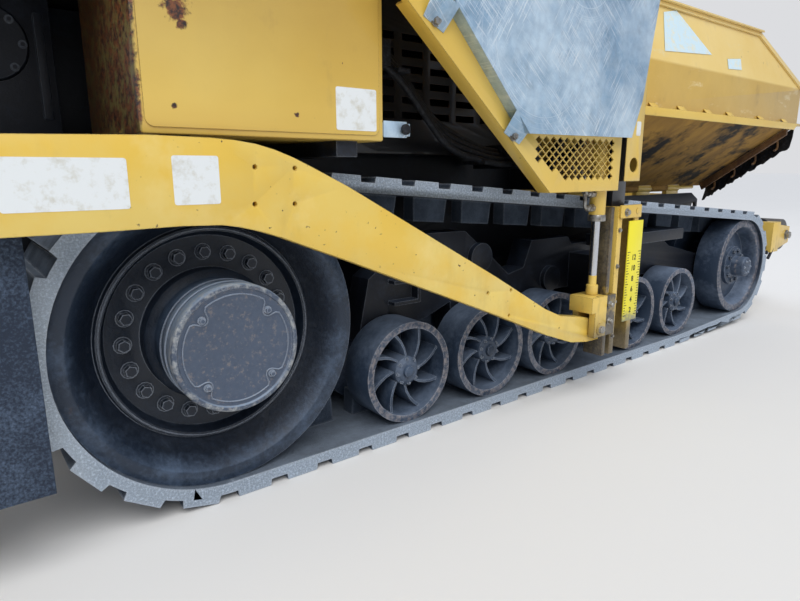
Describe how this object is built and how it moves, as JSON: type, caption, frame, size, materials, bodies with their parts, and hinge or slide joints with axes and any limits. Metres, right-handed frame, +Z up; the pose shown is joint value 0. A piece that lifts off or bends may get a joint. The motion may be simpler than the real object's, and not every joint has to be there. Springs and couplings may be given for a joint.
{
  "type": "tracked asphalt paver",
  "caption": "Tracked asphalt paver with a folding front hopper, conveyors, augers, towed extending screed and canopied operator's deck.",
  "frame": {"origin": "middle of the machine's footprint on the ground", "axes": "+X forward to the hopper, +Y to the machine's left, +Z up"},
  "size_m": [6.92, 3.11, 3.4401],
  "materials": {
    "paint": "gloss paint, chipped and scratched",
    "black_paint": "worn black paint with dust",
    "rubber": "dusty rubber, edges worn pale",
    "cast": "black cast iron, dusty",
    "steel": "worn bare steel",
    "zinc": "galvanised sheet with scratches",
    "chrome": "polished rod",
    "scale": "bright yellow scale plate",
    "seat": "black seat cover",
    "lamp": "clear lamp lens in a black case"
  },
  "bodies": {
    "chassis": {"chassis_frame": "black_paint", "conveyor_floor": "black_paint", "push_mount": "paint", "lift_brackets": "paint", "hopper_body": "paint", "conveyor_chains": "steel", "engine_block": "black_paint", "engine_housing": "paint", "operator_deck": "paint", "side_boxes": "paint", "guard_frames": "paint", "shield_plates": "zinc", "belt_right": "rubber", "belt_left": "rubber", "drive_wheels": "cast", "road_rollers": "cast", "idler_wheels": "cast", "track_frames": "black_paint", "tow_posts": "paint", "level_scales": "scale", "tow_barrels": "paint", "consoles": "paint", "seats": "seat", "handrails": "paint", "canopy": "paint", "exhaust_stack": "steel", "side_flaps": "rubber", "auger_carrier": "black_paint", "work_lamps": "lamp"},
    "hood": {"engine_hood": "paint"},
    "push_beam": {"push_beam": "paint"},
    "screed": {"screed_frame": "paint", "tow_arms": "paint"},
    "hopper_wing_right": {"hopper_wing_right": "paint"},
    "hopper_wing_left": {"hopper_wing_left": "paint"},
    "wing_barrel_right": {"wing_barrel_right": "black_paint"},
    "wing_barrel_left": {"wing_barrel_left": "black_paint"},
    "wing_rod_right": {"wing_rod_right": "chrome"},
    "wing_rod_left": {"wing_rod_left": "chrome"},
    "push_roller_right": {"push_roller_right": "steel"},
    "push_roller_left": {"push_roller_left": "steel"},
    "tow_slide_right": {"tow_slide_right": "paint"},
    "tow_slide_left": {"tow_slide_left": "paint"},
    "lift_barrel_right": {"lift_barrel_right": "black_paint"},
    "lift_barrel_left": {"lift_barrel_left": "black_paint"},
    "lift_rod_right": {"lift_rod_right": "chrome"},
    "lift_rod_left": {"lift_rod_left": "chrome"},
    "extender_right": {"extender_right": "paint"},
    "extender_left": {"extender_left": "paint"},
    "auger_right": {"auger_right": "steel"},
    "auger_left": {"auger_left": "steel"}
  },
  "joints": [
    {"name": "wing_hinge_right", "type": "hinge", "parent": "chassis", "child": "hopper_wing_right", "pos_m": [2.025, -0.7, 0.83], "axis": [-1, 0, 0], "range_deg": [-25, 10]},
    {"name": "wing_barrel_swing_right", "type": "hinge", "parent": "chassis", "child": "wing_barrel_right", "pos_m": [1.057, -0.86, 0.87], "axis": [-1, 0, 0], "range_deg": [-30, 12]},
    {"name": "wing_ram_right", "type": "slide", "parent": "wing_barrel_right", "child": "wing_rod_right", "axis": [0, -0.4814, 0.8765], "range_m": [-0.0445, 0.0185]},
    {"name": "wing_hinge_left", "type": "hinge", "parent": "chassis", "child": "hopper_wing_left", "pos_m": [2.025, 0.7, 0.83], "axis": [1, 0, 0], "range_deg": [-25, 10]},
    {"name": "wing_barrel_swing_left", "type": "hinge", "parent": "chassis", "child": "wing_barrel_left", "pos_m": [1.057, 0.86, 0.87], "axis": [1, 0, 0], "range_deg": [-30, 12]},
    {"name": "wing_ram_left", "type": "slide", "parent": "wing_barrel_left", "child": "wing_rod_left", "axis": [0, 0.4814, 0.8765], "range_m": [-0.0445, 0.0185]},
    {"name": "push_beam_pivot", "type": "hinge", "parent": "chassis", "child": "push_beam", "pos_m": [3.055, 0, 0.5], "axis": [0, 0, 1], "range_deg": [-6, 6]},
    {"name": "push_roller_spin_right", "type": "hinge", "parent": "push_beam", "child": "push_roller_right", "pos_m": [3.355, -0.6, 0.505], "axis": [0, 1, 0], "continuous": true},
    {"name": "push_roller_spin_left", "type": "hinge", "parent": "push_beam", "child": "push_roller_left", "pos_m": [3.355, 0.6, 0.505], "axis": [0, 1, 0], "continuous": true},
    {"name": "tow_slide_right", "type": "slide", "parent": "chassis", "child": "tow_slide_right", "axis": [0, 0, 1], "range_m": [0, 0.25]},
    {"name": "tow_slide_left", "type": "slide", "parent": "chassis", "child": "tow_slide_left", "axis": [0, 0, 1], "range_m": [0, 0.25]},
    {"name": "screed_lift", "type": "hinge", "parent": "tow_slide_right", "child": "screed", "pos_m": [0.827, -1.34, 0.304], "axis": [0, 1, 0], "range_deg": [0, 6]},
    {"name": "lift_barrel_swing_right", "type": "hinge", "parent": "chassis", "child": "lift_barrel_right", "pos_m": [-1.605, -1.25, 1.75], "axis": [0, 1, 0], "range_deg": [-5, 0.5]},
    {"name": "lift_ram_right", "type": "slide", "parent": "lift_barrel_right", "child": "lift_rod_right", "axis": [0.0692, 0, 0.9976], "range_m": [0, 0.265]},
    {"name": "extend_right", "type": "slide", "parent": "screed", "child": "extender_right", "axis": [0, -1, 0], "range_m": [0, 1.25]},
    {"name": "auger_spin_right", "type": "hinge", "parent": "chassis", "child": "auger_right", "pos_m": [-1.555, -0.6, 0.33], "axis": [0, 1, 0], "continuous": true},
    {"name": "lift_barrel_swing_left", "type": "hinge", "parent": "chassis", "child": "lift_barrel_left", "pos_m": [-1.605, 1.25, 1.75], "axis": [0, 1, 0], "range_deg": [-5, 0.5]},
    {"name": "lift_ram_left", "type": "slide", "parent": "lift_barrel_left", "child": "lift_rod_left", "axis": [0.0692, 0, 0.9976], "range_m": [0, 0.265]},
    {"name": "extend_left", "type": "slide", "parent": "screed", "child": "extender_left", "axis": [0, 1, 0], "range_m": [0, 1.25]},
    {"name": "auger_spin_left", "type": "hinge", "parent": "chassis", "child": "auger_left", "pos_m": [-1.555, 0.6, 0.33], "axis": [0, 1, 0], "continuous": true},
    {"name": "hood_hinge", "type": "hinge", "parent": "chassis", "child": "hood", "pos_m": [1.077, 0, 1.892], "axis": [0, 1, 0], "range_deg": [0, 50]}
  ],
  "couplings": [
    {"joint": "wing_barrel_swing_right", "follows": "wing_hinge_right", "ratio": 1.186},
    {"joint": "wing_ram_right", "follows": "wing_hinge_right", "m_per_rad": 0.1},
    {"joint": "wing_barrel_swing_left", "follows": "wing_hinge_left", "ratio": 1.186},
    {"joint": "wing_ram_left", "follows": "wing_hinge_left", "m_per_rad": 0.1},
    {"joint": "tow_slide_left", "follows": "tow_slide_right", "ratio": 1},
    {"joint": "lift_barrel_swing_right", "follows": "screed_lift", "ratio": -0.8},
    {"joint": "lift_ram_right", "follows": "screed_lift", "m_per_rad": 2.475},
    {"joint": "lift_barrel_swing_left", "follows": "screed_lift", "ratio": -0.8},
    {"joint": "lift_ram_left", "follows": "screed_lift", "m_per_rad": 2.475}
  ]
}
